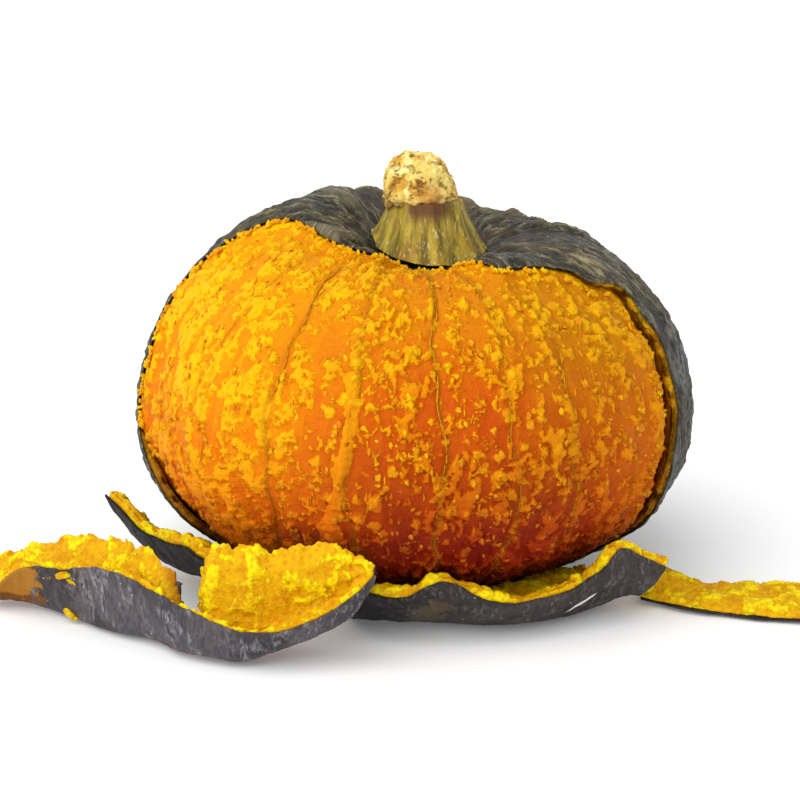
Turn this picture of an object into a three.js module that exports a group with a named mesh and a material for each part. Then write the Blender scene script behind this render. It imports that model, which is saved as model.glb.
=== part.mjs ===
// A cooked kabocha squash with the front half of its rind torn off. The orange flesh stands on the
// rind that still wraps the back, the top and the underside, and the torn-off pieces of peel lie
// around its foot, skin side down. Millimetres, +Z up, front towards -Y, origin at the middle of
// the flat spot that the squash stands on.
import * as THREE from 'three';

// The whole fruit, measured over the rind.
const CENTRE_X = 0.6;
const RADIUS = 89;
const WAIST_HEIGHT = 50;
const TOP_RISE = 68.5;
const BOTTOM_DROP = 53;
const TOP_SQUARENESS = 2.22;
const BOTTOM_SQUARENESS = 2;
const HOLLOW_DEPTH = 17.5;
const HOLLOW_RADIUS = 29;
const LOBES = 10;
const LOBE_DEPTH = 1.6;
const FURROW_AZIMUTH = 4.7;
const SHOULDER_LUMP = 7.5;
const SHOULDER_LUMP_RADIUS = 52;
const SHOULDER_LUMP_AT = { x: -46, y: 19 };

// The rind, with the flesh that clings to its inside, and the flesh of the fruit below it.
const RIND_THICKNESS = 2.2;
const UNDER_RIND_GAP = 1.3;
const PEELED_DEPTH = 4.4;
const VEINS = 20;
const VEIN_GROOVE = 0.9;
const CRUMB_HEIGHT = 1.5;
const CRUMB_SIZE = 8;
const BARE_WITHIN = 5;
const DIMPLE = 0.45;
const WRINKLE = 0.5;
const WRINKLE_SIZE = 11;
const SMOOTH_BELOW = -0.9;
const EDGE_RAGGEDNESS = 0.9;

// The torn opening in the rind, in polar form about its middle: how far the edge lies from the
// middle, in degrees, at each angle around it (0 right, 90 top, 180 left, 270 underneath).
const OPENING_AZIMUTH = -5;
const OPENING_EDGE = [
  [0, 67.5], [9, 72], [18, 73], [26, 76], [35, 76], [43, 79.5], [50, 73], [57, 73], [64, 70], [71, 66],
  [79, 70], [86, 76.5], [92, 76], [97, 70], [103, 71.5], [108, 77], [113, 82.5], [121, 84], [134, 84.5],
  [146, 86], [153, 82], [160, 76], [168, 75.5], [177, 77], [186, 71], [196, 66], [207, 61], [222, 66],
  [240, 70], [270, 66], [290, 70], [306, 78], [320, 78], [330, 71], [340, 68], [350, 66.5],
];

// The stem: a fluted green foot with a corky plug on it.
const STEM_X = 3.4;
const STEM_LEAN = -0.07;
const STEM_FLUTES = 9;
const FLUTE_DEPTH = 0.7;
const STEM_CLEARANCE = 1.4;
const FOOT_TOP = 120.5;
const FOOT_PROFILE = [[17.2, 0], [15.8, 0.2], [14.2, 0.45], [12.6, 0.7], [11.4, 1]];
const CORK_PROFILE = [
  [10.4, 120.9], [11.4, 121.3], [11.5, 123.5], [11.0, 126.5], [9.8, 129.5], [8.4, 132], [6.6, 134.2],
  [3.4, 135.3],
];
const CORK_LUMPS = 0.9;

// Torn-off peel: outer skin, a hairline, then the layer of flesh that came away with it.
const PEEL_SKIN = 1.0;
const PEEL_GAP = 0.3;
const PEEL_FLESH = 3.3;
const FLOOR_CLEARANCE = 0.05;
const PEEL_CRUMBS = 0.7;
const PEEL_CRUMB_SIZE = 5;
const RIM_RAGGEDNESS = 0.03;

// Each piece of peel is a row of cross-sections on its skin side, from one end to the other.
// A cross-section runs from the front or upper rim to the back or lower rim.
const PEEL_LEFT = {
  steps: [30, 9],
  sections: [
    [[-131, -44, 5], [-132, -39, 2], [-131, -32, 4], [-130, -27, 11]],
    [[-119, -52, 17.5], [-121, -42, 3], [-121, -33, 3.5], [-121, -26, 15.5]],
    [[-107, -58, 20], [-109, -49, 2.5], [-110, -40, 3.5], [-110, -32, 19.5]],
    [[-91, -70, 24], [-92, -65, 3], [-92, -53, 3], [-92, -40, 24]],
    [[-78, -79, 21.5], [-78, -74.5, 4], [-79, -62, 2.5], [-81, -49, 24]],
    [[-69, -87, 18.8], [-70, -84, 5], [-70, -76, 2.2], [-71, -65, 22]],
    [[-60, -92.5, 16.7], [-60, -89, 3.5], [-60, -80, 4], [-60, -74, 32]],
    [[-50, -97, 14], [-51, -90, 1.7], [-51, -80, 6], [-51, -77, 33.5]],
    [[-38, -98, 14], [-41, -88.5, 4], [-40, -79, 10], [-39, -79, 35]],
    [[-25, -96, 18.5], [-28, -86.5, 8.5], [-27, -79, 17], [-26, -81, 36]],
    [[-16, -93, 24], [-18, -86, 14.5], [-17, -81, 22], [-16, -83, 33]],
    [[-11, -90, 28], [-11.5, -88, 25.5], [-11.5, -86.5, 27.5], [-11, -86, 30]],
  ],
  tear: { at: 0.475, width: 0.06, reach: 0.62 },
};
const PEEL_BACK = {
  steps: [15, 5],
  sections: [
    [[-98.5, -10, 27], [-95.5, -9, 21], [-92, -8, 15.5]],
    [[-92.5, -17, 24], [-88, -14, 14], [-84, -10, 6]],
    [[-87, -24, 20.5], [-81, -19, 9], [-76, -14, 3]],
    [[-81.5, -31, 20], [-75, -24, 8], [-69, -17, 1.5]],
    [[-76, -39, 20.5], [-68, -30, 8], [-60, -21, 1.5]],
    [[-71, -46, 22], [-62, -36, 9], [-54, -25, 1.5]],
    [[-67, -52, 21], [-58, -41, 9], [-49, -29, 1.5]],
    [[-58, -61, 20.5], [-49, -50, 8], [-41, -38, 1.5]],
  ],
};
const PEEL_FRONT = {
  steps: [26, 6],
  sections: [
    [[-20, -76, 19], [-20.5, -64, 6.5], [-20, -50, 0.4], [-18, -42, 1]],
    [[-4, -78, 17], [-4, -65, 5.5], [-4, -52, 0.4], [-3.5, -43, 1]],
    [[8, -80, 23], [8.5, -67, 7], [8.5, -54, 0.4], [7, -43, 1]],
    [[19, -78, 17], [20, -67, 5.5], [20.5, -55, 0.4], [17, -42, 1]],
    [[28.5, -75, 14], [29, -65, 4.5], [29, -54, 0.4], [24, -40, 1]],
    [[37.5, -72, 14.5], [38, -62, 4.5], [38, -51, 0.4], [31, -37, 1]],
    [[45.5, -68, 15.5], [46, -58, 5], [46, -47, 0.4], [36, -29, 1]],
    [[52, -65, 18.5], [53, -54, 6.5], [52, -43, 0.6], [42, -25, 1.2]],
    [[57, -63, 21.5], [58, -53, 9], [57, -42, 1.8], [48, -25, 1.8]],
    [[61.5, -62, 27.5], [62.5, -53, 11.5], [61, -42, 3.5], [54, -28, 2.5]],
    [[68.5, -62, 24], [67.5, -54.5, 13], [65, -45, 5.5], [60.5, -35, 3.5]],
    [[75.5, -60, 20], [73.5, -55, 14], [71, -50, 9], [68, -45, 5]],
  ],
};
const PEEL_RIGHT = {
  steps: [16, 6],
  sections: [
    [[70, -37, 1], [70.5, -30, 2], [71, -22, 11]],
    [[83, -46, 1], [83.5, -37, 0.3], [84.5, -26, 5.5]],
    [[94.5, -50, 0.6], [95, -39, 0.2], [95.5, -28, 4]],
    [[105, -53.5, 0.5], [106, -41, 0.2], [107.5, -28, 4]],
    [[119, -56.5, 0.8], [120, -44, 0.5], [122, -31, 4.5]],
  ],
};

const DEGREE = Math.PI / 180;
const UPWARDS = new THREE.Vector3(0, 0, 1);

// Smooth random field, between -1 and 1, from a hashed lattice.
function hash(i, j, k) {
  const h = Math.sin(i * 127.1 + j * 311.7 + k * 74.7) * 43758.5453;
  return 2 * (h - Math.floor(h)) - 1;
}

function noise(x, y, z) {
  const cell = [Math.floor(x), Math.floor(y), Math.floor(z)];
  const ease = [x - cell[0], y - cell[1], z - cell[2]].map((t) => t * t * (3 - 2 * t));
  let sum = 0;
  for (let corner = 0; corner < 8; corner++) {
    const step = [corner & 1, (corner >> 1) & 1, (corner >> 2) & 1];
    const weight = step.reduce((w, s, axis) => w * (s ? ease[axis] : 1 - ease[axis]), 1);
    sum += weight * hash(cell[0] + step[0], cell[1] + step[1], cell[2] + step[2]);
  }
  return sum;
}

function noiseAt(point, size) {
  return noise(point.x / size, point.y / size, point.z / size);
}

// Closed solids from vertices and triangles.
function geometry(points, triangles) {
  const made = new THREE.BufferGeometry();
  const numbers = points.flatMap((p) => [p.x, p.y, p.z]);
  made.setAttribute('position', new THREE.Float32BufferAttribute(numbers, 3));
  made.setIndex(triangles.flat());
  made.computeVertexNormals();
  return made;
}

// A closed globe: rings of points between a first and a last pole, seen anticlockwise from the first.
function globe(around, rings, pointAt) {
  const points = [pointAt(0, 0)];
  for (let j = 1; j < rings; j++) {
    for (let i = 0; i < around; i++) points.push(pointAt(i / around, j / rings));
  }
  points.push(pointAt(0, 1));
  const at = (i, j) => 1 + (j - 1) * around + (i % around);
  const triangles = [];
  for (let i = 0; i < around; i++) {
    triangles.push([0, at(i, 1), at(i + 1, 1)]);
    for (let j = 1; j < rings - 1; j++) {
      triangles.push([at(i, j), at(i, j + 1), at(i + 1, j + 1)]);
      triangles.push([at(i, j), at(i + 1, j + 1), at(i + 1, j)]);
    }
    triangles.push([at(i, rings - 1), points.length - 1, at(i + 1, rings - 1)]);
  }
  return geometry(points, triangles);
}

// An open sheet given twice, once for each face, closed along its border. The triangles are
// anticlockwise as seen from outside the first face.
function thicken(face, back, triangles) {
  const seen = new Map();
  for (const [a, b, c] of triangles) {
    for (const [from, to] of [[a, b], [b, c], [c, a]]) seen.set(`${from},${to}`, [from, to]);
  }
  const shift = face.length;
  const closed = triangles.map((t) => [...t]);
  for (const [a, b, c] of triangles) closed.push([a + shift, c + shift, b + shift]);
  for (const [from, to] of seen.values()) {
    if (seen.has(`${to},${from}`)) continue;
    closed.push([from, from + shift, to], [to, from + shift, to + shift]);
  }
  return geometry([...face, ...back], closed);
}

// The fruit's surface over the rind, in the direction (x, y, z), sunk in by a depth.
function fruitPoint(direction, depth) {
  const { x, y, z } = direction;
  const across = Math.hypot(x, y);
  const azimuth = Math.atan2(x, -y);
  const power = 2 / (z > 0 ? TOP_SQUARENESS : BOTTOM_SQUARENESS);
  const furrow = 0.5 * (1 + Math.cos(LOBES * (azimuth - FURROW_AZIMUTH * DEGREE)));
  const lobe = LOBE_DEPTH * furrow * across ** 2;
  const radius = (RADIUS - depth - lobe) * across ** power;
  const rise = z > 0 ? TOP_RISE - depth : BOTTOM_DROP - depth;
  const height = WAIST_HEIGHT + Math.sign(z) * rise * Math.abs(z) ** power;
  const point = new THREE.Vector3(
    CENTRE_X + radius * Math.sin(azimuth), -radius * Math.cos(azimuth), height);
  if (z > 0) {
    const fromStem = Math.hypot(point.x - STEM_X, point.y);
    const fromLump = Math.hypot(point.x - SHOULDER_LUMP_AT.x, point.y - SHOULDER_LUMP_AT.y);
    point.z -= HOLLOW_DEPTH * Math.exp(-((fromStem / HOLLOW_RADIUS) ** 2)) * z;
    point.z += SHOULDER_LUMP * Math.exp(-((fromLump / SHOULDER_LUMP_RADIUS) ** 2)) * z;
  }
  point.z = Math.max(point.z, depth);
  return point;
}

// Angles from the middle of the opening, and around it, to directions and back.
function openingDirection(fromMiddle, around) {
  const out = Math.sin(fromMiddle);
  const direction = new THREE.Vector3(out * Math.cos(around), -Math.cos(fromMiddle), out * Math.sin(around));
  return direction.applyAxisAngle(UPWARDS, OPENING_AZIMUTH * DEGREE);
}

// The edge's distance from the middle of the opening, on a smooth curve through its given points.
function edgeAngle(around) {
  const degrees = ((around / DEGREE) % 360 + 360) % 360;
  const count = OPENING_EDGE.length;
  const next = OPENING_EDGE.findIndex(([angle]) => angle > degrees);
  const high = next < 0 ? count : next;
  const pick = (n) => OPENING_EDGE[(n + count) % count];
  const low = pick(high - 1);
  const span = (pick(high)[0] - low[0] + 360) % 360;
  const t = (degrees - low[0]) / span;
  const [a, b, c, d] = [pick(high - 2)[1], low[1], pick(high)[1], pick(high + 1)[1]];
  const curve = b + 0.5 * t * (c - a + t * (2 * a - 5 * b + 4 * c - d + t * (3 * (b - c) + d - a)));
  return curve * DEGREE;
}

// How far a direction lies past the torn edge, in millimetres along the surface: negative where bare.
function pastEdge(direction) {
  const turned = direction.clone().applyAxisAngle(UPWARDS, -OPENING_AZIMUTH * DEGREE);
  const fromMiddle = Math.acos(THREE.MathUtils.clamp(-turned.y, -1, 1));
  return (fromMiddle - edgeAngle(Math.atan2(turned.z, turned.x))) * RADIUS;
}

// The flesh: smooth under the rind, and crumbly and grooved along its veins where it is bare.
function fleshSolid() {
  const around = 62;
  const rings = 36;
  const crowding = 0.42;
  const underRind = RIND_THICKNESS + UNDER_RIND_GAP;
  return globe(around, rings, (u, v) => {
    const azimuth = 2 * Math.PI * u - Math.PI + crowding * Math.sin(2 * Math.PI * u);
    const latitude = Math.PI * (0.5 - v);
    const level = Math.cos(latitude);
    const direction = new THREE.Vector3(
      level * Math.sin(azimuth), -level * Math.cos(azimuth), Math.sin(latitude));
    const bare = THREE.MathUtils.smoothstep(-pastEdge(direction), 0, BARE_WITHIN);
    const smooth = fruitPoint(direction, underRind);
    const crumbs = CRUMB_HEIGHT * Math.abs(noiseAt(smooth, CRUMB_SIZE));
    const onVein = Math.max(0, Math.cos(VEINS * (azimuth - FURROW_AZIMUTH * DEGREE))) ** 6;
    const groove = VEIN_GROOVE * onVein * level;
    return fruitPoint(direction, underRind + bare * (PEELED_DEPTH - underRind + groove - crumbs));
  });
}

// The rind: a shell from the torn edge round to the back.
function rindSolid() {
  const around = 72;
  const rings = 18;
  const face = [];
  const back = [];
  const triangles = [];
  for (let j = 0; j < rings; j++) {
    for (let i = 0; i < around; i++) {
      const angle = (2 * Math.PI * i) / around;
      const ragged = EDGE_RAGGEDNESS * DEGREE * hash(i, 3, 7);
      const start = edgeAngle(angle) + ragged;
      const direction = openingDirection(start + (Math.PI - start) * (j / rings), angle);
      const wrinkle = WRINKLE * noiseAt(fruitPoint(direction, 0), WRINKLE_SIZE);
      const sunk = direction.z > SMOOTH_BELOW ? Math.max(DIMPLE + wrinkle, 0) : 0;
      face.push(fruitPoint(direction, sunk));
      back.push(fruitPoint(direction, RIND_THICKNESS));
    }
  }
  const pole = face.length;
  face.push(fruitPoint(openingDirection(Math.PI, 0), 0));
  back.push(fruitPoint(openingDirection(Math.PI, 0), RIND_THICKNESS));
  for (let i = 0; i < around; i++) {
    const next = (i + 1) % around;
    for (let j = 0; j < rings - 1; j++) {
      const [a, b] = [j * around + i, j * around + next];
      const [c, d] = [b + around, a + around];
      triangles.push([a, d, c], [a, c, b]);
    }
    triangles.push([(rings - 1) * around + i, pole, (rings - 1) * around + next]);
  }
  return thicken(face, back, triangles);
}

// The stem's foot stands in the hollow, a hair above the rind.
function stemShift(height) {
  return STEM_X + STEM_LEAN * (height - FOOT_TOP);
}

function rindHeightAt(x, y) {
  const reach = Math.min(1, (Math.hypot(x - CENTRE_X, y) / RADIUS) ** (TOP_SQUARENESS / 2));
  const azimuth = Math.atan2(x - CENTRE_X, -y);
  const direction = new THREE.Vector3(
    reach * Math.sin(azimuth), -reach * Math.cos(azimuth), Math.sqrt(1 - reach ** 2));
  return fruitPoint(direction, 0).z;
}

function fluted(radius, angle, depth) {
  return radius + depth * Math.cos(STEM_FLUTES * angle) + 0.5 * depth * Math.cos(4 * angle + 1);
}

function stemFootSolid() {
  const around = 36;
  const under = 3;
  const rings = under + FOOT_PROFILE.length + 1;
  return globe(around, rings, (u, v) => {
    const angle = -2 * Math.PI * u;
    const ring = Math.round(v * rings);
    const level = ring - under;
    const share = Math.min(ring / under, 1);
    const [radius, rise] = FOOT_PROFILE[THREE.MathUtils.clamp(level, 0, FOOT_PROFILE.length - 1)];
    const last = ring >= rings;
    const reach = last ? 0 : fluted(radius, angle, FLUTE_DEPTH * (1 - 0.6 * rise)) * share;
    const standX = STEM_X + reach * Math.sin(angle);
    const standY = -reach * Math.cos(angle);
    const floor = rindHeightAt(standX, standY) + STEM_CLEARANCE;
    const height = level <= 0 ? floor : floor + (FOOT_TOP - floor) * rise;
    return new THREE.Vector3(standX + stemShift(height) - STEM_X, standY, last ? FOOT_TOP : height);
  });
}

function stemCorkSolid() {
  const around = 30;
  const rings = CORK_PROFILE.length + 1;
  return globe(around, rings, (u, v) => {
    const angle = -2 * Math.PI * u;
    const ring = Math.round(v * rings);
    const [radius, height] = CORK_PROFILE[THREE.MathUtils.clamp(ring - 1, 0, CORK_PROFILE.length - 1)];
    const end = ring === 0 || ring === rings;
    const bumpy = noise(2.2 * Math.sin(angle), 2.2 * Math.cos(angle), height / 4);
    const lumps = ring > 1 ? CORK_LUMPS * bumpy : 0;
    const reach = end ? 0 : radius + lumps;
    const tip = ring === rings ? 0.4 : 0;
    return new THREE.Vector3(
      stemShift(height) + reach * Math.sin(angle), -reach * Math.cos(angle), height + tip);
  });
}

// One piece of peel: a smooth sheet through its cross-sections, with ragged rims.
function smoothCurve(points) {
  return new THREE.CatmullRomCurve3(points, false, 'catmullrom', 0.5);
}

function peelSurface(sections) {
  const across = sections.map((row) => smoothCurve(row.map((p) => new THREE.Vector3(...p))));
  return (u, v) => smoothCurve(across.map((curve) => curve.getPoint(v))).getPoint(u);
}

// Whether a piece is torn away at a place, along and across it: a tear narrows away from the back rim.
function tornAway(tear, u, v) {
  return tear !== undefined && v > 1 - tear.reach * (1 - Math.abs(u - tear.at) / tear.width);
}

function peelSolid(peel, seed, low, high, relief) {
  const surface = peelSurface(peel.sections);
  const [along, wide] = peel.steps;
  const face = [];
  const back = [];
  const triangles = [];
  const step = 1e-3;
  for (let i = 0; i <= along; i++) {
    const u = i / along;
    const start = RIM_RAGGEDNESS * (1 + hash(i, seed, 1));
    const end = 1 - RIM_RAGGEDNESS * (1 + hash(i, seed, 2));
    for (let j = 0; j <= wide; j++) {
      const v = start + (end - start) * (j / wide);
      const fray = (0.4 * Math.abs(hash(j, seed, 5))) / along;
      const at = THREE.MathUtils.clamp(u, fray, 1 - fray);
      const point = surface(at, v);
      const du = surface(Math.min(at + step, 1), v).sub(surface(Math.max(at - step, 0), v));
      const dv = surface(at, Math.min(v + step, 1)).sub(surface(at, Math.max(v - step, 0)));
      const inward = du.cross(dv).normalize();
      const onRim = Math.min(i, along - i, j, wide - j) === 0;
      const crumbs = (onRim ? 0.3 : 1) * relief * noiseAt(point, PEEL_CRUMB_SIZE);
      const thickness = (onRim ? 0.75 : 1) * (high - low) + crumbs;
      point.z = Math.max(point.z, FLOOR_CLEARANCE);
      face.push(point.clone().addScaledVector(inward, low));
      back.push(point.clone().addScaledVector(inward, low + thickness));
    }
  }
  for (let i = 0; i < along; i++) {
    for (let j = 0; j < wide; j++) {
      if (tornAway(peel.tear, (i + 0.5) / along, (j + 0.5) / wide)) continue;
      const a = i * (wide + 1) + j;
      const [b, c, d] = [a + 1, a + wide + 2, a + wide + 1];
      triangles.push([a, c, d], [a, b, c]);
    }
  }
  return thicken(face, back, triangles);
}

const fleshFinish = new THREE.MeshStandardMaterial({ color: '#e8820a', roughness: 0.55, metalness: 0 });
const peelFleshFinish = new THREE.MeshStandardMaterial({ color: '#f2b705', roughness: 0.65, metalness: 0 });
const rindFinish = new THREE.MeshStandardMaterial({ color: '#3a3d36', roughness: 0.6, metalness: 0 });
const stemFinish = new THREE.MeshStandardMaterial({ color: '#9a9440', roughness: 0.7, metalness: 0 });
const corkFinish = new THREE.MeshStandardMaterial({ color: '#e3c886', roughness: 0.9, metalness: 0 });

const squash = new THREE.Group();

function add(name, shape, finish) {
  const mesh = new THREE.Mesh(shape, finish);
  mesh.name = name;
  squash.add(mesh);
}

add('flesh', fleshSolid(), fleshFinish);
add('rind', rindSolid(), rindFinish);
add('stem_foot', stemFootSolid(), stemFinish);
add('stem_cork', stemCorkSolid(), corkFinish);

const peels = { left: PEEL_LEFT, back: PEEL_BACK, front: PEEL_FRONT, right: PEEL_RIGHT };
Object.entries(peels).forEach(([side, peel], seed) => {
  const above = PEEL_SKIN + PEEL_GAP;
  add(`peel_${side}_skin`, peelSolid(peel, seed, 0, PEEL_SKIN, 0), rindFinish);
  add(`peel_${side}_flesh`, peelSolid(peel, seed, above, above + PEEL_FLESH, PEEL_CRUMBS), peelFleshFinish);
});

export default squash;
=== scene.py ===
# A cooked kabocha squash with the front of its rind torn off, and the torn peel around its foot.
# Shapes are worked out in millimetres and written into the meshes in metres. +Z is up, the peeled
# side faces -Y, and the origin is the middle of the flat spot that the squash stands on.
import math

import bpy
import numpy as np
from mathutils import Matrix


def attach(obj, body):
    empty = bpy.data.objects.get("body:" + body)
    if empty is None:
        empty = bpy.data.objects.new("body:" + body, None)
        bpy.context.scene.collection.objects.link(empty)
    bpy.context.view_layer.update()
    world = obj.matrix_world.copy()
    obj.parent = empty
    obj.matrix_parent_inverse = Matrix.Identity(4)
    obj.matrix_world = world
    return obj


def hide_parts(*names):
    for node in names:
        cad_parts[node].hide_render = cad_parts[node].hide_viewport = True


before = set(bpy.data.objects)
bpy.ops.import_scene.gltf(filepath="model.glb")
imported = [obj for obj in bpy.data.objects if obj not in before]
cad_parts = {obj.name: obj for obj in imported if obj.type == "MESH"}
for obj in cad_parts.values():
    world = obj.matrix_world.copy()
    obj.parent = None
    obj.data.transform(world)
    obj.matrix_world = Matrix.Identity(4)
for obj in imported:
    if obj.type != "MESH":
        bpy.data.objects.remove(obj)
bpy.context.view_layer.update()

MM = 0.001
DEGREE = math.pi / 180

# The whole fruit over its rind, as the solids have it. Lengths in mm.
CENTRE_X = 0.6
FRUIT = {
    "Radius": 89.0,
    "Waist height": 50.0,
    "Top rise": 68.5,
    "Bottom drop": 53.0,
    "Top squareness": 2.22,
    "Bottom squareness": 2.0,
    "Hollow depth": 17.5,
    "Hollow radius": 29.0,
    "Lobes": 10.0,
    "Lobe depth": 1.6,
    "Furrow azimuth": 4.7 * DEGREE,
    "Shoulder lump": 7.5,
    "Lump radius": 52.0,
    "Lump x": -46.0,
    "Lump y": 19.0,
    "Dip by the stem": 5.2,
    "Dip y": -12.0,
    "Dip radius": 30.0,
    "Rise behind the stem": 2.6,
    "Rise x": -13.0,
    "Rise y": 30.0,
    "Rise radius": 14.0,
}

# The torn opening in polar form about its middle: degrees from the middle at each angle around it
# (0 right, 90 top, 180 left, 270 underneath).
OPENING_AZIMUTH = -5
OPENING_EDGE = [
    (0, 67.5), (9, 72), (18, 73), (26, 76), (35, 76), (43, 79.5), (50, 73), (57, 73), (64, 70), (71, 66.5),
    (79, 74), (86, 80.5), (92, 80.5), (97, 74), (103, 74.5), (108, 80), (113, 85), (121, 85), (134, 85.5),
    (146, 88), (153, 85), (160, 79), (168, 78.5), (177, 79), (186, 72), (196, 66), (207, 61), (222, 66),
    (240, 70), (270, 66), (290, 70), (306, 78), (320, 78), (330, 71), (340, 68), (350, 66.5),
]

# Flesh of the fruit.
UNDER_RIND_DEPTH = 3.5
PEELED_DEPTH = 4.4
BARE_WITHIN = 5
CRACK_AT = 1.5
CRACK_WIDTH = 3.6
CRACK_DEPTH = 2.4
SWELL_DEPTH = 1.9
SWELL_WIDTH = 5.5
# Veins down the bare flesh: azimuth in degrees and strength.
VEINS = (
    (-68, 0.3), (-50, 0.5), (-32, 0.9), (-13.5, 0.7), (4.7, 1.0), (19.8, 0.8), (34, 0.8), (52, 0.4),
    (68, 0.3),
)
VEIN_GROOVE = 0.5
RIDGE_AZIMUTH = -15.5

# Rind that still clings: a thin skin, and under it, near the torn edge, the flesh it pulled along.
SKIN_DEPTH = 0.7
SKIN_THICKNESS = 0.9
LIP_THICKNESS = 2.7
LIP_REACH = 24
LIP_INSET = 3.0
EDGE_LIFT = ((203, 13, 1.8), (330, 26, 0.5))

# Where the rind stands open over the flesh: angle around the opening and half width, in degrees.
GAPING = ((-8, 62), (210, 27))

# Stem.
STEM_X = 3.4
STEM_LEAN = -0.07
FOOT_TOP = 120.5
FOOT_PROFILE = [(17.2, 0), (15.8, 0.2), (14.2, 0.45), (12.6, 0.7), (11.4, 1)]
CORK_X = -1.9
CORK_PROFILE = [
    (8.6, 120.2), (10.9, 120.9), (11.4, 123.2), (10.9, 126.5), (9.9, 129.2), (8.2, 131.8), (6.0, 133.8),
    (2.8, 134.9),
]

# Torn peel: each piece is a row of cross-sections on its skin side, from one end to the other, and
# each cross-section runs from the front or upper rim to the back or lower rim.
PEEL_SKIN = 1.0
PEEL_TAPER = 6.0
FLOOR_CLEARANCE = 0.05
PEELS = {
    "left": [
        [(-131, -44, 5), (-132, -39, 2), (-131, -32, 4), (-130, -27, 11)],
        [(-119, -52, 17.5), (-121, -42, 3), (-121, -33, 3.5), (-121, -26, 15.5)],
        [(-107, -58, 20), (-109, -49, 2.5), (-110, -40, 3.5), (-110, -32, 19.5)],
        [(-91, -70, 24), (-92, -65, 3), (-92, -53, 3), (-92, -40, 24)],
        [(-78, -79, 21.5), (-78, -74.5, 4), (-79, -62, 2.5), (-81, -49, 24)],
        [(-69, -87, 18.8), (-70, -84, 5), (-70, -76, 2.2), (-71, -65, 22)],
        [(-60, -92.5, 16.7), (-60, -89, 3.5), (-60, -80, 4), (-60, -74, 32)],
        [(-50, -97, 14), (-51, -90, 1.7), (-51, -80, 6), (-51, -77, 33.5)],
        [(-38, -98, 14), (-41, -88.5, 4), (-40, -79, 10), (-39, -79, 35)],
        [(-25, -96, 18.5), (-28, -86.5, 8.5), (-27, -79, 17), (-26, -81, 36)],
        [(-16, -93, 24), (-18, -86, 14.5), (-17, -81, 22), (-16, -83, 33)],
        [(-11, -90, 28), (-11.5, -88, 25.5), (-11.5, -86.5, 27.5), (-11, -86, 30)],
    ],
    "back": [
        [(-98.5, -10, 27), (-96.5, -9.5, 22.5), (-94, -9, 19)],
        [(-92.5, -17, 24), (-90, -15, 17), (-87, -12.5, 11)],
        [(-87, -24, 20.5), (-83.5, -20.5, 12), (-79, -16.5, 6)],
        [(-81.5, -31, 20), (-76, -25, 9), (-70.5, -18.5, 2.8)],
        [(-76, -39, 20.5), (-68, -30, 8), (-60, -21, 1.5)],
        [(-71, -46, 22), (-62, -36, 9), (-54, -25, 1.5)],
        [(-67, -52, 21), (-58, -41, 9), (-49, -29, 1.5)],
        [(-58, -61, 20.5), (-49, -50, 8), (-41, -38, 1.5)],
    ],
    "front": [
        [(-20, -76, 19), (-20.5, -64, 6.5), (-20, -50, 0.4), (-18, -42, 1)],
        [(-4, -78, 17), (-4, -65, 5.5), (-4, -52, 0.4), (-3.5, -43, 1)],
        [(8, -80, 23), (8.5, -67, 7), (8.5, -54, 0.4), (7, -43, 1)],
        [(19, -78, 17), (20, -67, 5.5), (20.5, -55, 0.4), (17, -42, 1)],
        [(28.5, -75, 14), (29, -65, 4.5), (29, -54, 0.4), (24, -40, 1)],
        [(37.5, -72, 14.5), (38, -62, 4.5), (38, -51, 0.4), (31, -37, 1)],
        [(45.5, -68, 15.5), (46, -58, 5), (46, -47, 0.4), (36, -29, 1)],
        [(52, -65, 18.5), (53, -54, 6.5), (52, -43, 0.6), (42, -25, 1.2)],
        [(57, -63, 21.5), (58, -53, 9), (57, -42, 1.8), (48, -25, 1.8)],
        [(61.5, -62, 27.5), (62.5, -53, 11.5), (61, -42, 3.5), (54, -28, 2.5)],
        [(68.5, -62, 24), (67.5, -54.5, 13), (65, -45, 5.5), (60.5, -35, 3.5)],
        [(75.5, -60, 20), (73.5, -55, 14), (71, -50, 9), (68, -45, 5)],
    ],
    "right": [
        [(70, -37, 1), (70.5, -30, 2), (71, -22, 9.5)],
        [(83, -46, 1), (83.5, -37, 0.3), (84.5, -26, 3.6)],
        [(94.5, -50, 0.6), (95, -39, 0.2), (95.5, -28, 2)],
        [(105, -53.5, 0.5), (106, -41, 0.2), (107.5, -28, 2)],
        [(119, -56.5, 0.8), (120, -44, 0.5), (122, -31, 2.6)],
    ],
}

# Sizes of each piece of peel: rough length and width, thickness of its flesh, how much thicker that
# grows towards the back, the share of it left at the torn rims, and rows of points along and across.
PEEL_SIZES = {
    "left": dict(length=110, width=45, flesh=3.5, swell=0.0, rim_share=0.3, along=180, across=60),
    "back": dict(length=55, width=32, flesh=5.0, swell=0.0, rim_share=0.75, along=90, across=26),
    "front": dict(length=110, width=32, flesh=3.8, swell=4.0, rim_share=0.8, along=160, across=44),
    "right": dict(length=55, width=32, flesh=3.0, swell=0.0, rim_share=0.5, along=90, across=40),
}

# The tear in the left piece: where it is along the piece, its half width and how far in it reaches, as
# shares of the piece.
TEAR_AT = 0.502
TEAR_WIDTH = 0.036
TEAR_REACH = 0.42

# Patches painted on the skin of torn peel: middle x and z, half width, half height, slope, colour and
# strength. Some are the skin's own marks, and some are painted shade or a painted highlight.
LEFT_PATCHES = [
    (-109, 10, 7, 24, 0, (38, 31, 33), 0.7),
    (-125, 9, 10, 26, 0, (118, 66, 4), 1.0),
    # painted highlight: a golden glint on the fold
    (-120, 11, 7, 6, 0.2, (176, 116, 8), 0.9),
]
FRONT_PATCHES = [
    # painted shade: near black over the left end of the front piece
    (-24, 8, 22, 20, 0, (14, 10, 10), 0.95),
    (4.5, 9, 6, 5, 0.3, (98, 82, 44), 0.5),
    # painted highlight: a thin white sliver
    (50, 8, 4.6, 0.7, 0.55, (240, 236, 230), 1.0),
]

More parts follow.
